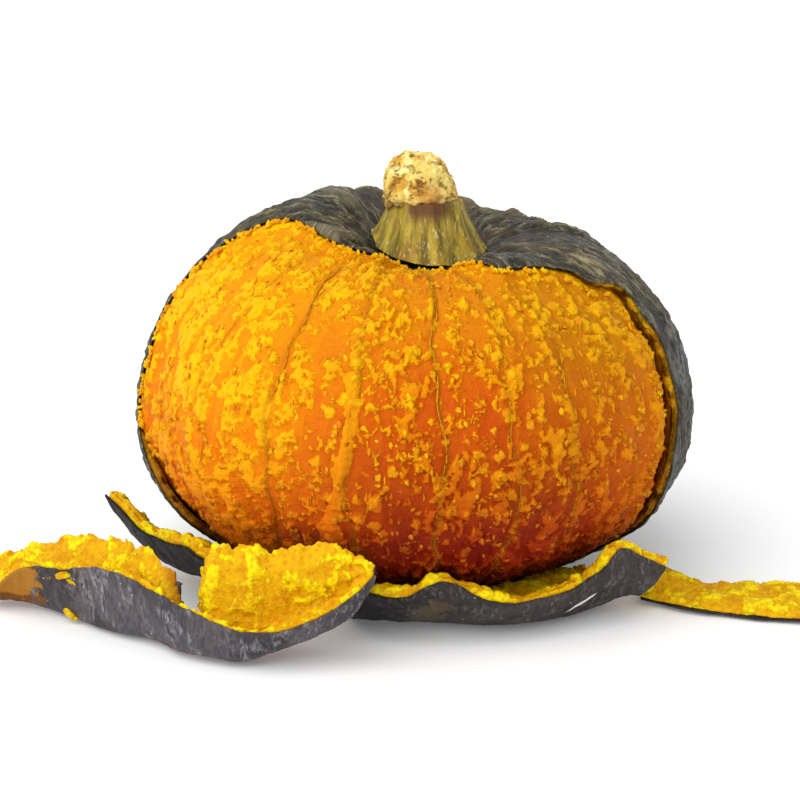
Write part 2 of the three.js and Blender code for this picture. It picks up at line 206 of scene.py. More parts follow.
# Torn bits at the ends of the peel: x, y, z and width.
BITS = [
    (-105.3, -58, 16.8, 3.4), (-102.8, -58.5, 15.3, 2.4), (-104.2, -53.5, 3.4, 3.2),
    (-102.2, -54, 1.8, 2.2), (-8, -69, 15, 4.0), (-3, -70, 16, 3.6), (1, -70, 15.5, 3.0),
    (-12, -69, 14.5, 3.0), (66, -56, 22.5, 3.0), (68.5, -55.5, 21.5, 3.0), (71, -54.5, 19.5, 2.8),
    (73, -53, 17, 2.4),
]

# Camera and light.
CAMERA_PLACE = (-0.00445, -0.7709, 0.2691)
CAMERA_TILT = (90 - 15.5) * DEGREE
CAMERA_LENS = 113.2
SKY_STRENGTH = 0.72
SUN_STRENGTH = 2.1
SUN_SOFTNESS = 70 * DEGREE
SUN_TILT = 42 * DEGREE
SUN_TURN = -40 * DEGREE


class Wire:
    """A node's output that takes part in expressions: every operator adds one Math node."""

    def __init__(self, nodes, socket):
        self.nodes = nodes
        self.socket = socket

    def __add__(self, other):
        return self.nodes.math("ADD", self, other)

    def __sub__(self, other):
        return self.nodes.math("SUBTRACT", self, other)

    def __rsub__(self, other):
        return self.nodes.math("SUBTRACT", other, self)

    def __mul__(self, other):
        return self.nodes.math("MULTIPLY", self, other)

    def __truediv__(self, other):
        return self.nodes.math("DIVIDE", self, other)

    def __rtruediv__(self, other):
        return self.nodes.math("DIVIDE", other, self)

    def __pow__(self, other):
        return self.nodes.math("POWER", self, other)

    def __neg__(self):
        return self.nodes.math("MULTIPLY", self, -1)

    __radd__ = __add__
    __rmul__ = __mul__


class Nodes:
    """Adds nodes to one tree, of a material or of Geometry Nodes."""

    def __init__(self, tree):
        self.tree = tree

    def add(self, kind, settings=None, inputs=None, output=0):
        """One node: its settings first, then its sockets' values or links. Gives one of its outputs."""
        node = self.tree.nodes.new(kind)
        for name, value in (settings or {}).items():
            setattr(node, name, value)
        for key, value in (inputs or {}).items():
            if isinstance(value, Wire):
                self.tree.links.new(value.socket, node.inputs[key])
            else:
                node.inputs[key].default_value = value
        return Wire(self, node.outputs[output]) if len(node.outputs) else None

    def math(self, operation, *values):
        return self.add("ShaderNodeMath", {"operation": operation}, dict(enumerate(values)))

    def vector(self, operation, *values):
        return self.add("ShaderNodeVectorMath", {"operation": operation}, dict(enumerate(values)))

    def scaled(self, vector, factor):
        return self.add("ShaderNodeVectorMath", {"operation": "SCALE"}, {0: vector, "Scale": factor})

    def split(self, vector):
        first = self.add("ShaderNodeSeparateXYZ", inputs={0: vector})
        return [Wire(self, output) for output in first.socket.node.outputs]

    def join(self, x, y, z):
        return self.add("ShaderNodeCombineXYZ", inputs={0: x, 1: y, 2: z})

    def step(self, value, low, high):
        """A smooth step from 0 at low to 1 at high."""
        inputs = {"Value": value, "From Min": low, "From Max": high}
        return self.add("ShaderNodeMapRange", {"interpolation_type": "SMOOTHSTEP"}, inputs)

    def noise(self, place, size, detail=2.0, roughness=0.5, distortion=0.0):
        """Smooth noise from 0 to 1 whose bumps are about the given size across."""
        inputs = {
            "Vector": place, "Scale": 1 / size, "Detail": detail, "Roughness": roughness,
            "Distortion": distortion,
        }
        return self.add("ShaderNodeTexNoise", inputs=inputs)

    def cells(self, place, size, output="Distance"):
        """Distance from the middle of the nearest of scattered cells, in cell sizes."""
        return self.add("ShaderNodeTexVoronoi", inputs={"Vector": place, "Scale": 1 / size}, output=output)

    def polar(self, x, y):
        """Angle around an upright axis, 0 in front, and distance from it."""
        return self.math("ARCTAN2", x, -y), self.math("SQRT", x * x + y * y)

    def specks(self, place, size, small, large, rare):
        """Spots in the middles of scattered cells, in fewer of them the nearer rare is to 1."""
        pick, _, _ = self.split(self.cells(place, size, output="Color"))
        return self.step(self.cells(place, size), large, small) * self.math("GREATER_THAN", pick, rare)

    def mix(self, factor, first, second):
        """From the first colour at 0 to the second at 1."""
        inputs = {0: factor, 6: seen(first), 7: seen(second)}
        return self.add("ShaderNodeMix", {"data_type": "RGBA"}, inputs, output=2)

    def layers(self, tone, *layers):
        """Lays colours over a tone in turn, each where its mask is 1."""
        for mask, paint in layers:
            tone = self.mix(mask, tone, paint)
        return tone


def seen(tone):
    """Three numbers from 0 to 255, a colour as seen on screen, as linear light."""
    if not isinstance(tone, tuple) or len(tone) != 3:
        return tone
    shares = [value / 255 for value in tone]
    return tuple(c / 12.92 if c < 0.04045 else ((c + 0.055) / 1.055) ** 2.4 for c in shares) + (1.0,)


# Geometry Nodes trees
def new_tree(name, vectors, sizes, result):
    """A tree with vector inputs and a named float input for each size. Gives its nodes and inputs."""
    tree = bpy.data.node_groups.new(name, "GeometryNodeTree")
    geometry = result == "Geometry"
    if geometry:
        tree.interface.new_socket("Geometry", in_out="INPUT", socket_type="NodeSocketGeometry")
    for label in vectors:
        tree.interface.new_socket(label, in_out="INPUT", socket_type="NodeSocketVector")
    for label, value in sizes.items():
        socket = tree.interface.new_socket(label, in_out="INPUT", socket_type="NodeSocketFloat")
        socket.default_value = value
    kind = "NodeSocketGeometry" if geometry else "NodeSocketVector"
    tree.interface.new_socket(result, in_out="OUTPUT", socket_type=kind)
    nodes = Nodes(tree)
    entry = tree.nodes.new("NodeGroupInput")
    given = {socket.name: Wire(nodes, socket) for socket in entry.outputs if socket.name}
    return nodes, given


def end_tree(nodes, result):
    leave = nodes.tree.nodes.new("NodeGroupOutput")
    nodes.tree.links.new(result.socket, leave.inputs[0])
    return nodes.tree


def make_fruit_surface():
    """The group that turns directions from the fruit's middle into places on it, in mm."""
    n, size = new_tree("Fruit surface", ["Direction"], {"Depth": 0.0, **FRUIT}, "Place")
    x, y, z = n.split(size["Direction"])
    depth = size["Depth"]
    azimuth, across = n.polar(x, y)
    above = n.math("GREATER_THAN", z, 0.0)
    below = 1 - above
    power = 2 / (size["Top squareness"] * above + size["Bottom squareness"] * below)
    furrow = 0.5 + 0.5 * n.math("COSINE", (azimuth - size["Furrow azimuth"]) * size["Lobes"])
    lobe = size["Lobe depth"] * furrow * across * across
    radius = (size["Radius"] - depth - lobe) * across ** power
    rise = size["Top rise"] * above + size["Bottom drop"] * below - depth
    upward = n.math("SIGN", z) * rise * n.math("ABSOLUTE", z) ** power
    out_x = CENTRE_X + radius * n.math("SINE", azimuth)
    out_y = -(radius * n.math("COSINE", azimuth))

    def bell(offset_x, offset_y, width):
        dx = out_x - offset_x
        dy = out_y - offset_y
        return n.math("EXPONENT", -((dx * dx + dy * dy) / (width * width)))

    top = above * z
    hollow = size["Hollow depth"] * bell(STEM_X, 0.0, size["Hollow radius"]) * top
    lump = size["Shoulder lump"] * bell(size["Lump x"], size["Lump y"], size["Lump radius"]) * top
    dip = size["Dip by the stem"] * bell(STEM_X, size["Dip y"], size["Dip radius"]) * top
    behind = bell(size["Rise x"], size["Rise y"], size["Rise radius"]) * top
    height = size["Waist height"] + upward - hollow + lump - dip + size["Rise behind the stem"] * behind
    return end_tree(n, n.join(out_x, out_y, n.math("MAXIMUM", height, depth - SKIN_DEPTH)))


FRUIT_SURFACE = make_fruit_surface()


def on_fruit(n, direction, depth):
    inputs = {"Direction": direction, "Depth": depth}
    return n.add("GeometryNodeGroup", {"node_tree": FRUIT_SURFACE}, inputs)


def measured(n, name, kind="FLOAT"):
    """A value that the base mesh carries at each of its points."""
    return n.add("GeometryNodeInputNamedAttribute", {"data_type": kind}, {"Name": name})


def here(n):
    """Each point's place in mm."""
    return n.scaled(n.add("GeometryNodeInputPosition"), 1 / MM)


def put(n, geometry, place):
    """Moves each point to a place in mm."""
    inputs = {"Geometry": geometry, "Position": n.scaled(place, MM)}
    return n.add("GeometryNodeSetPosition", inputs=inputs)


def lay_on_fruit(n, geometry, depth):
    """Turns a base mesh's directions into places on the fruit, and keeps these as "place"."""
    place = on_fruit(n, n.add("GeometryNodeInputPosition"), depth)
    inputs = {"Geometry": geometry, "Name": "place", "Value": place}
    settings = {"data_type": "FLOAT_VECTOR", "domain": "POINT"}
    return put(n, n.add("GeometryNodeStoreNamedAttribute", settings, inputs), place)


def push_out(n, geometry, height):
    """Moves each point along its normal by a height in mm."""
    offset = n.scaled(n.add("GeometryNodeInputNormal"), height * MM)
    return n.add("GeometryNodeSetPosition", inputs={"Geometry": geometry, "Offset": offset})


def chance(n, low, high, seed):
    """A random vector for each point."""
    inputs = {0: low, 1: high, "Seed": seed}
    return n.add("FunctionNodeRandomValue", {"data_type": "FLOAT_VECTOR"}, inputs)


def dress(n, geometry, material):
    whole = n.add("GeometryNodeRealizeInstances", inputs={0: geometry})
    smooth = n.add("GeometryNodeSetShadeSmooth", inputs={"Geometry": whole})
    return n.add("GeometryNodeSetMaterial", inputs={"Geometry": smooth, "Material": material})


def finish_piece(piece, slot, *nodes):
    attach(piece, "root")
    if nodes:
        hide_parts(*nodes)
    return piece


def grow(name, base, sizes, build, material, slot, *solids):
    """Runs a Geometry Nodes tree on a base mesh, keeps the result as a plain mesh and finishes it."""
    nodes, given = new_tree(name + " form", [], sizes, "Geometry")
    tree = end_tree(nodes, dress(nodes, build(nodes, given["Geometry"], given), material))
    piece = bpy.data.objects.new(name, base)
    bpy.context.scene.collection.objects.link(piece)
    modifier = piece.modifiers.new("form", "NODES")
    modifier.node_group = tree
    for socket in tree.interface.items_tree:
        if socket.in_out == "INPUT" and socket.name in sizes:
            modifier[socket.identifier] = sizes[socket.name]
    evaluated = piece.evaluated_get(bpy.context.evaluated_depsgraph_get())
    plain = bpy.data.meshes.new_from_object(evaluated)
    plain.name = name
    piece.modifiers.clear()
    piece.data = plain
    return finish_piece(piece, slot, *solids)


def base_mesh(name, points, faces, edges=(), **values):
    """A mesh from points and faces, with a value or a vector for each point under each given name."""
    mesh = bpy.data.meshes.new(name)
    mesh.from_pydata(points.tolist(), list(edges), faces.tolist() if len(faces) else [])
    for label, numbers in values.items():
        vector = numbers.ndim == 2
        layer = mesh.attributes.new(label, "FLOAT_VECTOR" if vector else "FLOAT", "POINT")
        layer.data.foreach_set("vector" if vector else "value", numbers.astype(np.float32).ravel())
    return mesh


# Grids of faces
def grid_faces(rows, columns, start=0, closed=False, flip=False):
    """Quads between rows of points, seen anticlockwise with rows going down and columns to the left."""
    i, j = np.meshgrid(np.arange(rows - 1), np.arange(columns if closed else columns - 1), indexing="ij")
    a = i * columns + j
    b = i * columns + (j + 1) % columns
    quads = np.stack([a, b, b + columns, a + columns], axis=-1).reshape(-1, 4) + start
    return quads[:, ::-1] if flip else quads


def fans(ring, pole, flip=False):
    """Triangles from a ring of points to one point."""
    turned = np.stack([ring, np.roll(ring, -1), np.full(len(ring), pole)], axis=-1)
    return turned[:, ::-1] if flip else turned


def bridge(first, second):
    """Quads from one ring of points to another."""
    return np.stack([first, second, np.roll(second, -1), np.roll(first, -1)], axis=-1)


def all_faces(*groups):
    return np.array([tuple(face) for group in groups for face in group.tolist()], dtype=object)


# Smooth curves
def through(a, b, c, d, t):
    """A smooth curve from b at 0 to c at 1, on its way from a to d."""
    return b + 0.5 * t * (c - a + t * (2 * a - 5 * b + 4 * c - d + t * (3 * (b - c) + d - a)))


def smooth_rows(rows, shares):
    """A smooth curve through rows of numbers, at shares from 0 to 1."""
    count = len(rows) - 1
    padded = np.concatenate([[2 * rows[0] - rows[1]], rows, [2 * rows[-1] - rows[-2]]])
    place = np.clip(shares, 0, 1) * count
    start = np.minimum(place.astype(int), count - 1)
    t = (place - start).reshape([-1] + [1] * (rows.ndim - 1))
    return through(*(padded[start + k] for k in range(4)), t)


# The torn edge
def edge_angle(around):
    """Radians from the opening's middle to the torn edge, at angles around it in radians."""
    angles, reach = np.array(OPENING_EDGE, float).T
    degrees = np.degrees(around) % 360
    high = np.searchsorted(angles, degrees, side="right")
    count = len(angles)
    low = high - 1
    t = (degrees - angles[low]) / ((angles[high % count] - angles[low]) % 360)
    return through(*(reach[(low + k) % count] for k in (-1, 0, 1, 2)), t) * DEGREE


def turned(directions, angle):
    cosine = math.cos(angle)
    sine = math.sin(angle)
    x, y, z = directions.T
    return np.stack([x * cosine - y * sine, x * sine + y * cosine, z], axis=-1)


def opening_direction(from_middle, around):
    out = np.sin(from_middle)
    level = np.stack([out * np.cos(around), -np.cos(from_middle), out * np.sin(around)], axis=-1)
    return turned(level.reshape(-1, 3), OPENING_AZIMUTH * DEGREE)


def around_opening(directions):
    x, _, z = turned(directions, -OPENING_AZIMUTH * DEGREE).T
    return np.arctan2(z, x)


def past_edge(directions):
    """How far directions lie past the torn edge, in mm along the surface: negative where bare."""
    _, y, _ = turned(directions, -OPENING_AZIMUTH * DEGREE).T
    return (np.arccos(np.clip(-y, -1, 1)) - edge_angle(around_opening(directions))) * FRUIT["Radius"]


def degrees_from(around, centre):
    return (np.degrees(around) - centre + 180) % 360 - 180


def gaping(around):
    """1 where the rind stands open over the flesh, 0 where it clings to it."""
    total = np.zeros_like(around)
    for centre, width in GAPING:
        total = total + np.exp(-((degrees_from(around, centre) / width) ** 6))
    return np.clip(total, 0, 1)


def ripple(t, seed):
    """Cheap smooth unevenness between about -1 and 1, for ragged edges."""
    waves = [(1, 0.5), (2.3, 0.3), (5.1, 0.25), (11.7, 0.15)]
    return sum(size * np.sin(rate * t + 7.3 * seed + 3.1 * rate) for rate, size in waves)


def smooth_step(value, low, high):
    t = np.clip((value - low) / (high - low), 0, 1)
    return t * t * (3 - 2 * t)


# Flesh
def fruit_direction(latitude, azimuth):
    parts = (np.cos(latitude) * np.sin(azimuth), -np.cos(latitude) * np.cos(azimuth), np.sin(latitude))
    return np.stack(parts, axis=-1)


def vein_wander(latitude, azimuth):
    return (0.9 * np.sin(7 * latitude + 0.11 * azimuth) + 0.4 * np.sin(19 * latitude + azimuth)) * DEGREE


def flesh_base(around=360, rings=250, crowding=0.6, lift=0.45):
    """Directions over the whole fruit, closest together in front, with what each place needs."""
    u = np.arange(around) / around
    v = np.arange(1, rings) / rings
    azimuth = 2 * np.pi * u - np.pi + crowding * np.sin(2 * np.pi * u)
    latitude = np.pi * (0.5 - v) - lift * 0.5 * np.sin(2 * np.pi * v)
    level, turn = np.meshgrid(latitude, azimuth, indexing="ij")
    directions = np.vstack([fruit_direction(level, turn).reshape(-1, 3), [[0, 0, 1], [0, 0, -1]]])
    count = (rings - 1) * around
    faces = all_faces(
        grid_faces(rings - 1, around, closed=True, flip=True),
        fans(np.arange(around), count),
        fans(np.arange(count - around, count), count + 1, flip=True),
    )
    beyond = past_edge(directions)
    bare = smooth_step(-beyond, 0, BARE_WITHIN)
    open_side = gaping(around_opening(directions))
    crack = np.exp(-((beyond - CRACK_AT) / CRACK_WIDTH) ** 2) * open_side
    swell = np.exp(-((beyond / SWELL_WIDTH) ** 2)) * (1 - open_side)
    x, y, z = directions.T
    flat = np.hypot(x, y)
    turn = np.arctan2(x, -y)
    height = np.arcsin(np.clip(z, -1, 1))
    from_vein = np.full(len(directions), 99.0)
    strength = np.zeros(len(directions))
    for centre, force in VEINS:
        away = np.abs(turn - centre * DEGREE - vein_wander(height, centre)) * flat * FRUIT["Radius"]
        nearer = away < from_vein
        from_vein = np.where(nearer, away, from_vein)
        strength = np.where(nearer, force, strength)
    ridge_turn = (RIDGE_AZIMUTH + 2.0 * np.sin(5 * height)) * DEGREE
    ridge = np.abs(turn - ridge_turn) * flat * FRUIT["Radius"]
    return base_mesh(
        "flesh", directions, faces, bare=bare, crack=crack, swell=swell, vein=from_vein,
        force=strength * bare, ridge=ridge)


def flesh_pattern(n, place, ridge):
    """Masks of the flesh's broad tone, its hard-edged flakes, small bright flakes and fine grain."""
    x, y, z = n.split(place)
    left = n.step(x, -8.0, -72.0)
    turn, reach = n.polar(x - STEM_X, y)
    flowing = n.join(turn * 72.0, reach * 0.42, z * 0.42)
    wide = n.noise(flowing, 8.0, detail=4, roughness=0.64, distortion=0.5)
    fine = n.noise(place, 2.2, detail=3, roughness=0.6)
    band = n.step(ridge, 3.6, 0.8) * n.step(z, 92.0, 66.0) * n.step(z, 10.0, 24.0)
    middle = n.noise(n.join(x + 90.0, y, z * 0.62), 4.6, detail=3, roughness=0.6, distortion=0.5)
    field = wide * 0.4 + middle * 0.4 + fine * 0.2 + left * 0.045 + n.step(x, 5.0, 60.0) * 0.012
    field = field + band * (0.04 + 0.2 * n.noise(place, 6, detail=3))
    flakes = n.step(field, 0.522, 0.55)
    small = n.noise(n.join(x + 40.0, y, z * 0.7), 2.7, detail=2, roughness=0.55, distortion=0.8)
    bright = n.step(small * 0.8 + wide * 0.2 + left * 0.01, 0.6, 0.635)
    drift = n.add("ShaderNodeTexNoise", inputs={"Vector": place, "Scale": 0.4, "Detail": 3.0}, output=1)
    warped = n.vector("ADD", place, n.scaled(drift, 5.0))
    pick, _, _ = n.split(n.cells(warped, 4.4, output="Color"))
    buds = n.step(n.cells(warped, 4.4), 0.12 + 0.4 * pick, 0.02 + 0.3 * pick)
    buds = buds * n.step(pick, 0.3, 0.4) * n.step(left, 1.0, 0.5)
    bright = n.math("MAXIMUM", bright, buds * 0.85)
    return flakes, bright, fine, wide


def build_flesh(n, geometry, size):
    bare = measured(n, "bare")
    under = size["Depth under the rind"]
    depth = under + bare * (size["Depth where bare"] - under) + measured(n, "crack") * size["Crack depth"]
    depth = depth + measured(n, "swell") * (size["Depth at a clinging edge"] - depth)
    geometry = lay_on_fruit(n, geometry, depth)
    still = measured(n, "place", "FLOAT_VECTOR")
    flakes, bright, fine, wide = flesh_pattern(n, still, measured(n, "ridge"))
    groove = n.step(measured(n, "vein"), 2.2, 0.3) * measured(n, "force")
    ridge = n.step(measured(n, "ridge"), 2.4, 0.3)
    _, _, z = n.split(still)
    ridge = ridge * n.step(z, 80.0, 60.0) * n.step(z, 12.0, 26.0)
    relief = flakes * size["Flake height"] + bright * size["Small flake height"] + (fine - 0.5) * 1.1
    relief = relief + (wide - 0.5) * 2.2 - groove * size["Vein groove"] + ridge * 0.9
    return push_out(n, geometry, relief * bare)


def build_veins(n, geometry, size):
    """Fibres that lie in the grooves, from lines of directions."""
    geometry = lay_on_fruit(n, geometry, size["Depth"])
    still = here(n)
    drift = n.add("ShaderNodeTexNoise", inputs={"Vector": still, "Scale": 0.25, "Detail": 3.0}, output=1)
    drift = n.scaled(n.vector("SUBTRACT", drift, (0.5, 0.5, 0.5)), 1.8 * MM)
    geometry = n.add("GeometryNodeSetPosition", inputs={"Geometry": geometry, "Offset": drift})
    curve = n.add("GeometryNodeMeshToCurve", inputs={0: geometry})
    thick = size["Radius"] * measured(n, "force") * (0.4 + 1.3 * n.noise(still, 9, detail=3))
    ring = n.add("GeometryNodeCurvePrimitiveCircle", inputs={"Resolution": 7, "Radius": 1.0})
    inputs = {"Curve": curve, "Profile Curve": ring, "Scale": thick * MM, "Fill Caps": True}
    return n.add("GeometryNodeCurveToMesh", inputs=inputs)


def vein_base():
    points = []
    edges = []
    force = []
    for strand in range(2):
        for centre, strength in VEINS:
            latitude = np.linspace(62, -48, 170) * DEGREE
            shift = (strand - 0.5) * 0.4 * DEGREE * (1 + 0.7 * np.sin(23 * latitude + strand))
            turn = centre * DEGREE + vein_wander(latitude, centre) + shift
            line = fruit_direction(latitude, turn)
            broken = ripple(latitude * 6, centre + strand * 3) > (0.15 if strand else -0.1)
            inside = (past_edge(line) < -6) & broken
            start = len(points)
            points.extend(line.tolist())
            force.extend([strength] * len(line))
            joined = np.flatnonzero(inside[:-1] & inside[1:]) + start
            edges.extend((k, k + 1) for k in joined.tolist())
    return base_mesh("veins", np.array(points), np.zeros((0, 3)), edges, force=np.array(force))


# Crumbs
def crumb_shape(n):
    """A lumpy crumb about 1 mm across, of a few dozen faces."""
    ball = n.add("GeometryNodeMeshUVSphere", inputs={"Segments": 7, "Rings": 5, "Radius": 0.5 * MM})
    return push_out(n, ball, (n.noise(here(n), 0.5, detail=1) - 0.5) * 1.1)


def strew(n, points, turning, scale):
    """A crumb at each point, turned and stretched its own way."""
    inputs = {"Points": points, "Instance": crumb_shape(n), "Rotation": turning, "Scale": scale}
    return n.add("GeometryNodeInstanceOnPoints", inputs=inputs)


def build_crumbs(n, geometry, size):
    """Loose crumbs lying on a surface, thickest where its density value says."""
    clumps = n.step(n.noise(here(n), 14, detail=2), 0.42, 0.62)
    density = size["Crumbs per square metre"] * measured(n, "loose") * (0.25 + clumps)
    spread = n.add(
        "GeometryNodeDistributePointsOnFaces", {"distribute_method": "RANDOM"},
        {"Mesh": geometry, "Density": density, "Seed": 11})
    turning = Wire(n, spread.socket.node.outputs["Rotation"])
    low = n.join(size["Smallest"], size["Smallest"], 0.25)
    high = n.join(size["Largest"], size["Largest"] * 1.4, 0.8)
    return strew(n, spread, turning, chance(n, low, high, 5))


def tuft_base(count=1100):
    """Points along the torn edge, a little in front of it, for the tufts of flesh that stick out."""
    angle = 2 * np.pi * np.arange(count) / count
    back = 1.2 + 1.4 * ripple(angle * 90, 5) + 5.5 * gaping(angle)
    directions = opening_direction(edge_angle(angle) - back / FRUIT["Radius"], angle)
    thin = (ripple(angle * 47, 9) > -0.1) & (directions[:, 2] > -0.8)
    keep = thin & ~((gaping(angle) > 0.1) & (ripple(angle * 61, 2) < 0.1))
    depth = 1.6 + 2.6 * gaping(angle)[keep]
    return base_mesh("tufts", directions[keep], np.zeros((0, 3)), depth=depth)


def build_tufts(n, geometry, size):
    """Ragged shreds of flesh, each turned its own way."""
    geometry = lay_on_fruit(n, geometry, measured(n, "depth"))
    low = n.join(size["Thinnest"], size["Thinnest"], size["Shortest"])
    high = n.join(size["Thickest"], size["Thickest"], size["Longest"])
    turning = chance(n, (-1.2, -1.2, 0.0), (1.2, 1.2, 6.3), 3)
    return strew(n, geometry, turning, chance(n, low, high, 8))


def build_bits(n, geometry, size):
    """Larger torn-off bits lying at given places, each with its own width."""
    wide = measured(n, "wide")
    scale = n.join(wide * size["Length"], wide, wide * size["Flatness"])
    return strew(n, geometry, chance(n, (-0.6, -0.6, 0.0), (0.6, 0.6, 6.3), 6), scale)


# Rind
def edge_lift(around, beyond):
    """How far the skin stands off the fruit near its torn edge, in mm."""
    lift = np.zeros_like(around)
    for centre, width, height in EDGE_LIFT:
        lift = lift + height * np.exp(-((degrees_from(around, centre) / width) ** 2))
    return lift * np.exp(-((beyond / 11) ** 2))


def shell_base(name, outer_rings, inner_rings, low, high, reach, ragged, seed, thin_edge, around=480):
    """Directions and depths of a shell that starts at the torn edge, over and under it."""
    angle = 2 * np.pi * np.arange(around) / around
    jag = ragged * (ripple(angle * 20, seed) + 0.6 * ripple(angle * 40, seed + 2))
    open_side = gaping(angle)
    closed = reach is None
    inset = 0 if closed else LIP_INSET * (1 - open_side)
    start = edge_angle(angle) + (jag + inset) / FRUIT["Radius"]
    stop = np.full(around, np.pi) if closed else start + reach / FRUIT["Radius"]
    points = []
    depths = []
    outward = []

    def rows(count, depth, side):
        shares = (np.arange(count) / count if closed else np.linspace(0, 1, count)) ** 1.3
        for share in shares:
            beyond = share * (stop - start)
            points.extend(opening_direction(start + beyond, angle))
            beyond = beyond * FRUIT["Radius"]
            rim = np.clip(beyond / thin_edge, 0, 1)
            full = np.sqrt(1 - (1 - rim) ** 2)
            inner = high
            if not closed:
                full = full * np.sqrt(np.clip((1 - share) * 4, 0, 1))
                thinning = 1 - 0.35 * smooth_step(beyond, 2, 9)
                inner = low + (high - low) * (0.2 + 0.8 * open_side) * thinning
            middle = 0.5 * (low + inner)
            wanted = inner if depth == high else depth
            depths.extend(middle + (wanted - middle) * full - edge_lift(angle, beyond))
            outward.extend(np.full(around, side) * smooth_step(beyond, -0.1, 1.5))

    rows(outer_rings, low, 1.0)
    first_inner = len(points)
    rows(inner_rings, high, 0.0)
    rim_out = np.arange(around)
    rim_in = rim_out + first_inner
    last_out = rim_out + (outer_rings - 1) * around
    last_in = rim_in + (inner_rings - 1) * around
    faces = [
        grid_faces(outer_rings, around, closed=True, flip=True),
        grid_faces(inner_rings, around, start=first_inner, closed=True),
        bridge(rim_out, rim_in)[:, ::-1],
    ]
    if closed:
        points.extend(opening_direction(np.full(2, np.pi), np.zeros(2)))
        depths.extend([low, high])
        outward.extend([1.0, 0.0])
        faces.append(fans(last_out, len(points) - 2, flip=True))
        faces.append(fans(last_in, len(points) - 1))
    else:
        faces.append(bridge(last_out, last_in))
    return base_mesh(
        name, np.array(points), all_faces(*faces), depth=np.array(depths), outside=np.array(outward))


def rind_wrinkles(n, place):
    """Height of the rind's folds and warts in mm, and how deep in a crease each place is."""
    x, y, z = n.split(place)
    angle, reach = n.polar(x - STEM_X, y)
    along = n.join(angle * 26.0, reach * 0.16, z * 0.12)
    folds = n.noise(along, 3.6, detail=2, roughness=0.5, distortion=0.4)
    creases = n.math("ABSOLUTE", n.noise(place, 8.5, detail=3, roughness=0.55, distortion=0.9) - 0.5) * 2
    warts = n.step(n.cells(place, 6.0), 0.42, 0.05)
    fine = n.noise(place, 2.6, detail=3)
    by_stem = n.step(reach, 70.0, 34.0) * n.step(reach, 17.0, 30.0) * n.step(z, 80.0, 95.0)
    drape = n.noise(n.join(angle * 17.0, reach * 0.2, 3.0), 5.5, detail=1, distortion=0.6)
    height = (folds - 0.5) * 2.4 + (n.math("POWER", creases, 0.6) - 0.4) * 1.6 + warts * 0.35
    height = height + (fine - 0.5) * 0.7 + n.step(drape, 0.42, 0.7) * by_stem * 3.0
    return height, creases


def build_skin(n, geometry, size):
    geometry = lay_on_fruit(n, geometry, measured(n, "depth"))
    still = measured(n, "place", "FLOAT_VECTOR")
    height, _ = rind_wrinkles(n, still)
    _, _, z = n.split(still)
    clear = n.step(z, 0.5, 9.0)
    height = n.math("MAXIMUM", height * size["Wrinkles"], -0.35)
    return push_out(n, geometry, height * measured(n, "outside") * clear)


def build_lip(n, geometry, size):
    geometry = lay_on_fruit(n, geometry, measured(n, "depth"))
    relief = (n.noise(here(n), 3.5, detail=4, roughness=0.65) - 0.5) * size["Crumbliness"]
    return push_out(n, geometry, relief * (1 - measured(n, "outside")))


# Stem
def turned_base(name, profile, around, rings):
    """A closed turned shape: radius and a second number up its profile, and both poles."""
    rows = smooth_rows(np.array(profile, float), np.linspace(0, 1, rings))
    angle = 2 * np.pi * np.arange(around) / around
    radius = np.repeat(rows[:, 0], around)
    second = np.repeat(rows[:, 1], around)
    turn = np.tile(angle, rings)
    points = np.stack([radius * np.sin(turn), -radius * np.cos(turn), second], axis=-1)
    caps = np.array([[0, 0, rows[0, 1]], [0, 0, rows[-1, 1]]])
    count = rings * around
    faces = all_faces(
        grid_faces(rings, around, closed=True),
        fans(np.arange(around), count, flip=True),
        fans(np.arange(count - around, count), count + 1),
    )
    side = np.concatenate([np.ones(count), [0, 0]])
    return base_mesh(name, np.vstack([points, caps]), faces, side=side)


def build_foot(n, geometry, size):
    """The flutes of the stem's foot. The base's height runs from 0 at the rind to 1 at the top."""
    x, y, rise = n.split(n.add("GeometryNodeInputPosition"))
    angle, reach = n.polar(x, y)
    sine = n.math("SINE", angle)
    cosine = n.math("COSINE", angle)
    wander = n.noise(n.join(sine * 2.0, cosine * 2.0, rise), 1.0)
    twist = angle + 0.25 * wander
    flute = n.math("ABSOLUTE", n.math("COSINE", twist * size["Flutes"] * 0.5))
    sharp = 1 - n.math("POWER", flute, 0.9) * 1.7
    broad = n.math("COSINE", angle * 4.0 + 1.0)
    depth = size["Flute depth"] * (1 - 0.5 * rise) * measured(n, "side")
    grain = n.noise(n.join(sine * 9.0, cosine * 9.0, rise * 2.0), 1.6, detail=3)
    reach = reach + depth * (sharp + 0.6 * broad) + (grain - 0.5) * 0.9 * measured(n, "side")
    stand_x = reach * sine + STEM_X
    stand_y = -(reach * cosine)
    azimuth, out = n.polar(stand_x - CENTRE_X, stand_y)
    tilt = (out / size["Fruit radius"]) ** (0.5 * FRUIT["Top squareness"])
    upright = n.math("SQRT", 1 - tilt * tilt)
    direction = n.join(tilt * n.math("SINE", azimuth), -(tilt * n.math("COSINE", azimuth)), upright)
    _, _, floor = n.split(on_fruit(n, direction, 0.0))
    floor = floor + size["Clearance"]
    height = floor + (size["Top"] - floor) * rise
    shift = (height - size["Top"]) * STEM_LEAN
    return put(n, geometry, n.join(stand_x + shift, stand_y, height))


